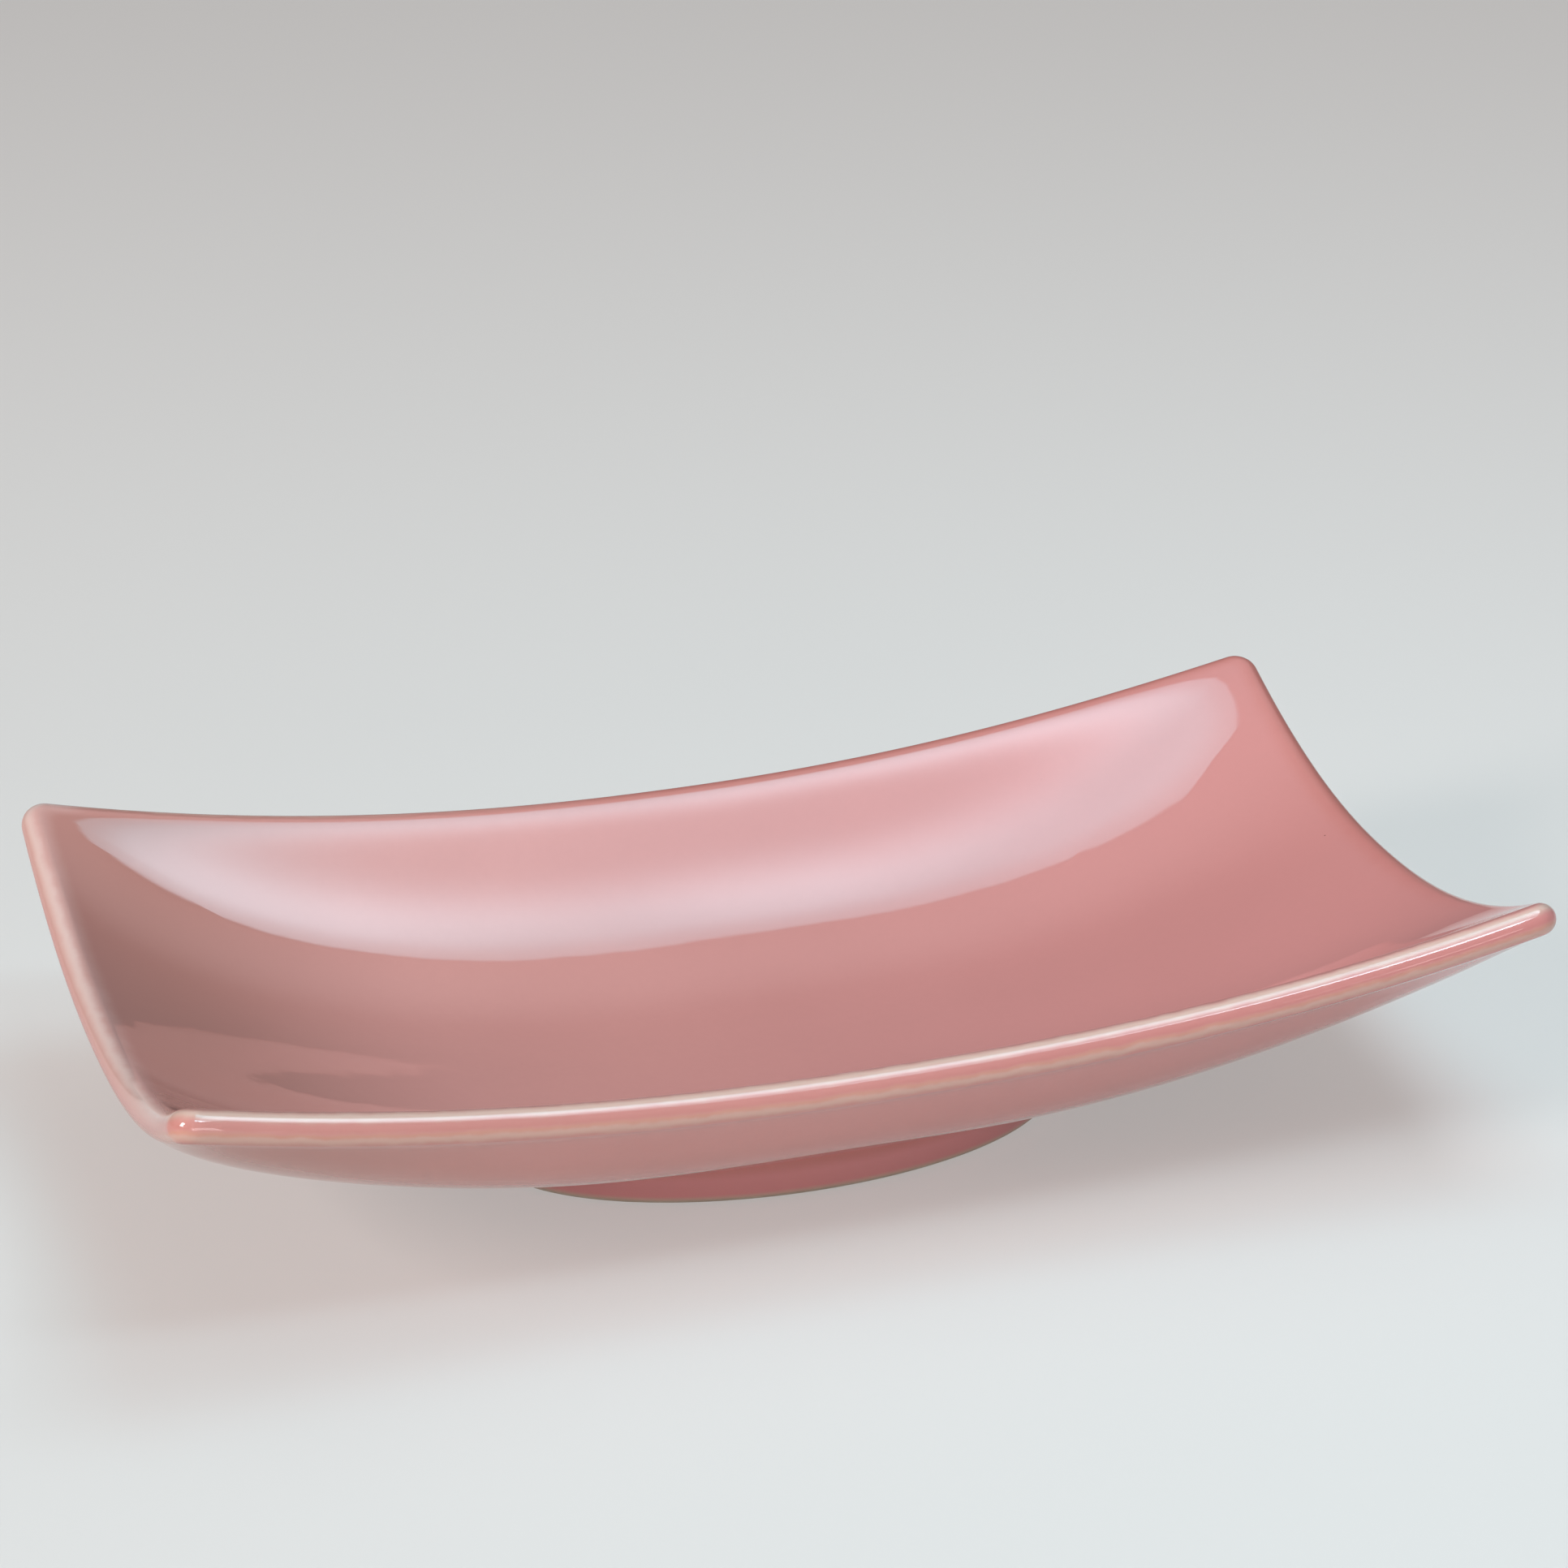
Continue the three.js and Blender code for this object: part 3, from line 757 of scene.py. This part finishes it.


# %% [markdown]
# ## The pink glaze, and where it changes
#
# The glaze is one clear, glassy surface, but its pink is not the same all over. It is warmer
# on the left half and rosier on the right, and the rim came out redder at the back. The
# slope at the left is painted darker and browner: painted shade, where less light falls.
# Masks say where: each is a soft step of a coordinate of the dish, or of a distance that is
# stored on the mesh.

# %% The material and where a point lies
pink_glaze = bpy.data.materials.new("pink_glaze")
pink_glaze.use_nodes = True
tree = pink_glaze.node_tree
shader = tree.nodes["Principled BSDF"]
shader.location = (900, 0)
where = add(tree, "ShaderNodeTexCoord", -1300, 0).outputs["Object"]
from_crest = add(tree, "ShaderNodeAttribute", -1300, -300, attribute_name="from_crest").outputs["Fac"]
from_edge = add(tree, "ShaderNodeAttribute", -1300, -500, attribute_name="from_edge").outputs["Fac"]
print("material made:", pink_glaze.name)


# %% Helpers for masks
def ramp(tree, value, start, end, low=0.0, high=1.0, x=0, y=0):
    """Soft step of a value from low to high between two limits."""
    node = add(tree, "ShaderNodeMapRange", x, y, interpolation_type="SMOOTHSTEP")
    for label, number in (("From Min", start), ("From Max", end), ("To Min", low), ("To Max", high)):
        node.inputs[label].default_value = number
    tree.links.new(value, node.inputs["Value"])
    return node.outputs["Result"]


def times(tree, first, second):
    """Product of two values."""
    return math_node(tree, "MULTIPLY", first, second, -600, 0)


def opposite(tree, mask):
    """One where the mask is nought, and the other way round."""
    return math_node(tree, "SUBTRACT", 1.0, mask, -700, 200)


# %% Masks of the pink glaze
clouds = place_group(tree, drift, -900, 300, Vector=where, Patch_size=0.07, Roughness=0.45)
mottle = place_group(tree, drift, -900, 450, Vector=where, Patch_size=0.0025, Roughness=0.6)
broken = place_group(tree, glaze_break, -900, 0, Vector=where, From_crest=from_crest, Wander=0.5)
iron = place_group(tree, specks, -900, -200, Vector=where, Spacing=0.019, Size=0.00034, Share=0.5)
pinholes = place_group(tree, specks, -900, -350, Vector=where, Spacing=0.017, Size=0.0005, Share=0.12)
axes = add(tree, "ShaderNodeSeparateXYZ", -1100, 200)
tree.links.new(where, axes.inputs[0])
along, across = axes.outputs["X"], axes.outputs["Y"]
rim = broken.outputs["Rim fade"]

to_left = math_node(tree, "MULTIPLY", along, -4.5, -1000, 250)
to_front = math_node(tree, "MULTIPLY", across, -8.0, -1000, 150)
front_left = ramp(tree, math_node(tree, "ADD", to_left, to_front, -950, 200), -0.75, 0.0, x=-800, y=200)
right_half = ramp(tree, along, -0.15, 0.15, x=-800, y=500)
# Painted shade on the left slope, kept off the lip.
valley_painted_shade = times(tree, ramp(tree, along, -0.075, -0.150, x=-800, y=700), opposite(tree, rim))
left_end = times(tree, ramp(tree, along, -0.150, -0.162), ramp(tree, across, -0.088, -0.066))
front_side = opposite(tree, left_end)
inner_half = ramp(tree, from_crest, 2.0, -1.0, x=-800, y=-300)
# Painted light on the foot wall, under the belly.
foot_painted_light = ramp(tree, from_edge, 9.0, 5.0, x=-200, y=-600)
wiped_edge = ramp(tree, from_edge, 1.6, 0.2, x=-200, y=-450)
print("masks of the glaze:", len(tree.nodes), "nodes")

# %% [markdown]
# ## The pink glaze, layer by layer
#
# The colour is mixed layer by layer: clouds and a fine mottling in the pink, painted shade
# on the left slope, the rim that turns redder at the back and paler at the left, where thin
# glaze and painted light on the lit lip mix, the thin bands of the lip and their lines, the
# brown one partly a painted dark reflection, a paler pink on the foot wall as painted light
# from the lamp in front, and last iron specks and a few pale pinholes. Every layer is a
# mask, the share of it that counts, and a colour, so a list and one loop lay them all.

# %% Colour layers of the pink glaze
layers = [
    (clouds.outputs["Drift"], 0.35, PINK_CLOUD),
    (mottle.outputs["Drift"], 0.10, PINK_CLOUD),
    # Painted shade on the left slope.
    (valley_painted_shade, 0.70, VALLEY_PAINTED_SHADE),
    (times(tree, rim, opposite(tree, front_left)), 0.72, RIM_RED),
    # Left lip paler: thin glaze, and painted light where the lip faces the light.
    (times(tree, times(tree, rim, inner_half), left_end), 0.50, BEIGE_THIN_AND_PAINTED_LIGHT),
]
for band, side, share, paint in (
        ("Inner thin", front_side, 0.66, BEIGE_THIN), ("Outer thin", front_side, 0.60, BEIGE_THIN),
        # The brown line is partly a painted dark reflection.
        ("Brown line and dark reflection", front_side, 0.38, BROWN_LINE_AND_DARK_REFLECTION), ("Orange line", front_side, 0.45, ORANGE_LINE),
        # Left lip's inner shoulder: thin glaze and painted light together.
        ("Inner thin", left_end, 0.70, BEIGE_THIN_AND_PAINTED_LIGHT)):
    layers.append((times(tree, times(tree, broken.outputs[band], front_left), side), share, paint))
layers += [
    # Painted light on the foot wall.
    (foot_painted_light, 0.80, FOOT_PAINTED_LIGHT_PINK),
    (wiped_edge, 1.0, BEIGE_THIN),
    (pinholes.outputs["Speck"], 0.60, PINHOLE),
    (iron.outputs["Speck"], 0.75, IRON_SPECK),
]
tone = blend_colours(tree, right_half, PINK_WARM, PINK_ROSE, -600, 500)
for row, (mask, share, paint) in enumerate(layers):
    tone = blend_colours(tree, times(tree, mask, share), tone, paint, -500 + 80 * row, 400)
tree.links.new(tone, shader.inputs["Base Color"])
print("layers of the glaze:", len(layers))

# %% [markdown]
# ## The pink glaze, its gloss
#
# Glass mirrors sharply, so the roughness is very low, and a slow drift changes it a
# little: some parts mirror more sharply than others. The bump is small too: a ripple a
# few centimetres long, orange peel a few millimetres long, and the pinholes. Together
# they are four hundredths of a millimetre deep.

# %% Gloss and bump of the pink glaze
SHARPEST, DULLEST = 0.02, 0.035
GLASS_IOR = 1.52
PEEL_SHARE, PINHOLE_SHARE, BUMP_DEPTH = 0.15, 0.8, 0.00004

smooth = add(tree, "ShaderNodeMapRange", 0, -100)
smooth.inputs["To Min"].default_value, smooth.inputs["To Max"].default_value = SHARPEST, DULLEST
tree.links.new(clouds.outputs["Drift"], smooth.inputs["Value"])
tree.links.new(smooth.outputs["Result"], shader.inputs["Roughness"])
shader.inputs["IOR"].default_value = GLASS_IOR

ripple = place_group(tree, drift, -900, -600, Vector=where, Patch_size=0.030, Roughness=0.3)
peel = place_group(tree, drift, -900, -800, Vector=where, Patch_size=0.006, Roughness=0.3)
fine = times(tree, peel.outputs["Drift"], PEEL_SHARE)
holes = times(tree, pinholes.outputs["Speck"], PINHOLE_SHARE)
relief = math_node(tree, "ADD", ripple.outputs["Drift"], fine, -400, -700)
relief = math_node(tree, "SUBTRACT", relief, holes, -200, -700)
bump = add(tree, "ShaderNodeBump", 400, -500)
bump.inputs["Strength"].default_value = 1.0
bump.inputs["Distance"].default_value = BUMP_DEPTH
tree.links.new(relief, bump.inputs["Height"])
tree.links.new(bump.outputs["Normal"], shader.inputs["Normal"])
print("pink glaze:", len(tree.nodes), "nodes")

# %% [markdown]
# ## Bare clay and slip
#
# Fired clay is matt and slightly sandy. Darker grog grains lie in it, closer together
# and smaller than the pinholes of the glaze. The slip is the same clay, washed finer, so
# it uses the same two groups with smaller numbers.

# %% Clay materials
DRIFT_SHARE, GROG_SHARE = 0.25, 0.6
CLAY_ROUGHNESS = (0.78, 0.92)


def clay_material(name, pale, dark, patch, spacing, size, share, grain_depth):
    """Matt fired clay with drifting tone, grains and a sandy bump."""
    material = bpy.data.materials.new(name)
    material.use_nodes = True
    tree = material.node_tree
    shader = tree.nodes["Principled BSDF"]
    where = add(tree, "ShaderNodeTexCoord", -900, 0).outputs["Object"]
    drifts = place_group(tree, drift, -700, 200, Vector=where, Patch_size=patch, Roughness=0.6)
    grog = place_group(tree, specks, -700, -50, Vector=where, Spacing=spacing, Size=size, Share=share)
    sand = place_group(tree, drift, -700, -300, Vector=where, Patch_size=0.0006, Roughness=0.7)
    tone = blend_colours(tree, times(tree, drifts.outputs["Drift"], DRIFT_SHARE), pale, dark, -300, 200)
    tone = blend_colours(tree, times(tree, grog.outputs["Speck"], GROG_SHARE), tone, dark, -100, 200)
    tree.links.new(tone, shader.inputs["Base Color"])
    rough = add(tree, "ShaderNodeMapRange", -300, -50)
    rough.inputs["To Min"].default_value, rough.inputs["To Max"].default_value = CLAY_ROUGHNESS
    tree.links.new(sand.outputs["Drift"], rough.inputs["Value"])
    tree.links.new(rough.outputs["Result"], shader.inputs["Roughness"])
    bump = add(tree, "ShaderNodeBump", -100, -300)
    bump.inputs["Distance"].default_value = grain_depth
    tree.links.new(sand.outputs["Drift"], bump.inputs["Height"])
    tree.links.new(bump.outputs["Normal"], shader.inputs["Normal"])
    print(name + ":", len(tree.nodes), "nodes")
    return material


fired_clay = clay_material("fired_clay", CLAY_CREAM, CLAY_DARK, patch=0.012, spacing=0.0022,
                           size=0.0006, share=0.5, grain_depth=0.00008)
washed_slip = clay_material("washed_slip", SLIP_CREAM, CLAY_DARK, patch=0.02, spacing=0.003,
                            size=0.0003, share=0.2, grain_depth=0.00003)
FINISHES = {"pink_glaze": pink_glaze, "fired_clay": fired_clay, "slip": washed_slip}
for piece, node, slot in PLACES:
    piece.data.materials.append(FINISHES[slot])

# %% [markdown]
# ## The studio
#
# A long soft box hangs over the platter, turned square to the camera: its mirror image
# is the long pale leaf on the back wall. Real soft boxes are not even. This one has a
# tube near each end, so it is dimmer between them, and its far edge falls off before it
# stops. Light Path tells the floor's paint which rays the camera sends, also by way of
# a mirror: to those the floor looks paler than the lamps alone would make it.

# %% Floor
FLOOR_REACH = 6.0
FLOOR_PAINT, FLOOR_SEEN, SEEN_SHARE = (0.675, 0.61, 0.585, 1), (0.81, 0.79, 0.775, 1), 0.45
floor_mesh = bpy.data.meshes.new("studio_floor")
corners = [(x * FLOOR_REACH, y * FLOOR_REACH, 0) for x, y in ((-1, -1), (1, -1), (1, 1), (-1, 1))]
floor_mesh.from_pydata(corners, [], [(0, 1, 2, 3)])
studio_floor = bpy.data.objects.new("studio_floor", floor_mesh)
bpy.context.scene.collection.objects.link(studio_floor)
studio_floor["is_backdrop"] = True
floor_paint = bpy.data.materials.new("floor_paint")
floor_paint.use_nodes = True
paint_tree = floor_paint.node_tree
paint = paint_tree.nodes["Principled BSDF"]
paint.inputs["Base Color"].default_value = FLOOR_PAINT
paint.inputs["Roughness"].default_value = 0.9
paint.inputs["Specular IOR Level"].default_value = 0.1
seen = add(paint_tree, "ShaderNodeLightPath", -300, 300)
looked_at = math_node(paint_tree, "MAXIMUM", seen.outputs["Is Camera Ray"], seen.outputs["Is Glossy Ray"])
looked_at = math_node(paint_tree, "MAXIMUM", looked_at, seen.outputs["Is Transmission Ray"])
pale = add(paint_tree, "ShaderNodeEmission", -100, -200)
pale.inputs["Color"].default_value = FLOOR_SEEN
either = add(paint_tree, "ShaderNodeMixShader", 100, 100)
paint_tree.links.new(times(paint_tree, looked_at, SEEN_SHARE), either.inputs[0])
paint_tree.links.new(paint.outputs["BSDF"], either.inputs[1])
paint_tree.links.new(pale.outputs["Emission"], either.inputs[2])
paint_tree.links.new(either.outputs["Shader"], paint_tree.nodes["Material Output"].inputs["Surface"])
floor_mesh.materials.append(floor_paint)
print("floor:", 2 * FLOOR_REACH, "m square")

# %% [markdown]
# ## Lights
#
# Emission strength inside an area lamp may vary over its face: the Parametric output of
# the Geometry node runs from 0 to 1 along its width and its length. The big box is also a
# little bluer on its left, whose mirror image lies on the redder end of the dish. A small
# box at the left puts a glint on the nearest corner, a low and faint one in front reaches
# the foot under the belly, and a dim glow from the ceiling at the back keeps the floor of
# the dish from going dull.

# %% Soft boxes
def soft_box(name, place, aim, size, power, tint=(1.0, 1.0, 1.0), turn=0.0):
    """Rectangular area light that faces a point, turned about the upright by some degrees."""
    lamp = bpy.data.lights.new(name, "AREA")
    lamp.shape, lamp.size, lamp.size_y, lamp.energy, lamp.color = "RECTANGLE", size[0], size[1], power, tint
    light = bpy.data.objects.new(name, lamp)
    bpy.context.scene.collection.objects.link(light)
    light.location = place
    light.rotation_euler = (Vector(aim) - Vector(place)).to_track_quat("-Z", "Y").to_euler()
    light.rotation_euler.z += math.radians(turn)
    print(f"{name}: {power} W, {size[0]} by {size[1]} m")
    return lamp


def face_of(lamp):
    """Node tree of a lamp, and the shares of its width and its length as sockets."""
    lamp.use_nodes = True
    tree = lamp.node_tree
    across = add(tree, "ShaderNodeSeparateXYZ", -500, 0)
    tree.links.new(add(tree, "ShaderNodeNewGeometry", -700, 0).outputs["Parametric"], across.inputs[0])
    return tree, across.outputs[0], across.outputs[1]


# %% The big box overhead
BOX_PLACE, BOX_UNDER, BOX_SIZE = (0.173, -0.247, 0.95), (0.173, -0.247, 0.0), (0.555, 0.90)
BOX_POWER, BOX_TINT, BOX_TURN = 12.4, (0.70, 0.97, 1.10), -19.0
FRONT_DIM = 0.33
BLUER, REDDER = (0.66, 1.0, 1.02, 1.0), (1.06, 1.0, 1.0, 1.0)


def dress_overhead(lamp):
    """Two tubes with a dim middle, a soft far edge, and the right side brighter and less blue."""
    tree, width, length = face_of(lamp)
    near_tube = ramp(tree, length, 0.255, 0.095, FRONT_DIM, 2.2)
    far_tube = ramp(tree, length, 0.33, 0.72, FRONT_DIM, 1.0)
    tubes = math_node(tree, "MAXIMUM", near_tube, far_tube)
    fall = times(tree, ramp(tree, length, 0.78, 0.99, 1.0, 0.50), ramp(tree, length, 1.0, 0.965))
    side = ramp(tree, width, 0.38, 0.80, 0.62, 1.15)
    emission = tree.nodes["Emission"]
    tree.links.new(times(tree, times(tree, tubes, fall), side), emission.inputs["Strength"])
    tint = blend_colours(tree, ramp(tree, width, 0.40, 0.75), BLUER, REDDER)
    tree.links.new(tint, emission.inputs["Color"])


dress_overhead(soft_box("overhead_box", BOX_PLACE, BOX_UNDER, BOX_SIZE, BOX_POWER, BOX_TINT, BOX_TURN))

# %% The fainter lights
glow = soft_box("ceiling_glow", (0.3, 0.60, 1.0), (0.3, 0.60, 0.0), (1.7, 1.2), 4.4)
tree, _, length = face_of(glow)
glow_fade = times(tree, ramp(tree, length, 0.0, 0.2), ramp(tree, length, 1.0, 0.3))
tree.links.new(glow_fade, tree.nodes["Emission"].inputs["Strength"])
MIDDLE = (0.0, 0.0, 0.0)
soft_box("left_box", (-1.83, -0.62, 1.06), MIDDLE, (0.55, 0.75), 30.0, (1.06, 1.0, 0.96))
soft_box("front_fill", (-0.2, -2.2, 0.40), MIDDLE, (1.8, 0.6), 13.0, (1.05, 1.0, 1.0))

world = bpy.data.worlds.new("studio_air")
bpy.context.scene.world = world
world.use_nodes = True
air = world.node_tree.nodes["Background"]
air.inputs["Color"].default_value = (1.0, 1.0, 1.0, 1)
air.inputs["Strength"].default_value = 0.10

# %% [markdown]
# ## The camera
#
# The camera stands at the front left, a little more than a metre away and 23 degrees
# above the table. Its place was found by matching the platter's outline. The three axes
# of its view are written out, so that the picture is level by construction.

# %% Camera
AZIMUTH, ELEVATION = math.radians(-19.0134), math.radians(23.2948)
DISTANCE, TO_RIGHT, TO_TOP = 1.17222, 0.00307, 0.08422
FOCAL_PIXELS, PICTURE_PIXELS, SENSOR_WIDTH = 5722.8, 1932, 36.0
level = math.cos(ELEVATION)
backward = Vector((math.sin(AZIMUTH) * level, -math.cos(AZIMUTH) * level, math.sin(ELEVATION)))
rightward = (-backward).cross(Vector((0, 0, 1))).normalized()
upward = rightward.cross(-backward)
camera_data = bpy.data.cameras.new("photo_camera")
camera_data.sensor_width = SENSOR_WIDTH
camera_data.lens = FOCAL_PIXELS * SENSOR_WIDTH / PICTURE_PIXELS
camera = bpy.data.objects.new("photo_camera", camera_data)
bpy.context.scene.collection.objects.link(camera)
camera.matrix_world = Matrix((rightward, upward, backward)).transposed().to_4x4()
camera.location = backward * DISTANCE + rightward * TO_RIGHT + upward * TO_TOP
bpy.context.scene.camera = camera
bpy.context.scene.view_settings.view_transform = "Standard"
print("camera at", [round(c, 3) for c in camera.location], "lens", round(camera_data.lens, 1), "mm")

# %% [markdown]
# ## Measuring the result
#
# The dressed platter has to fit the box of the solids. Both boxes are printed side by
# side.

# %% Print both boxes
dressed_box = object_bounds()
for label, box in (("solids", solid_box), ("dressed", dressed_box)):
    print(label, [[round(1000 * c, 2) for c in corner] for corner in box])
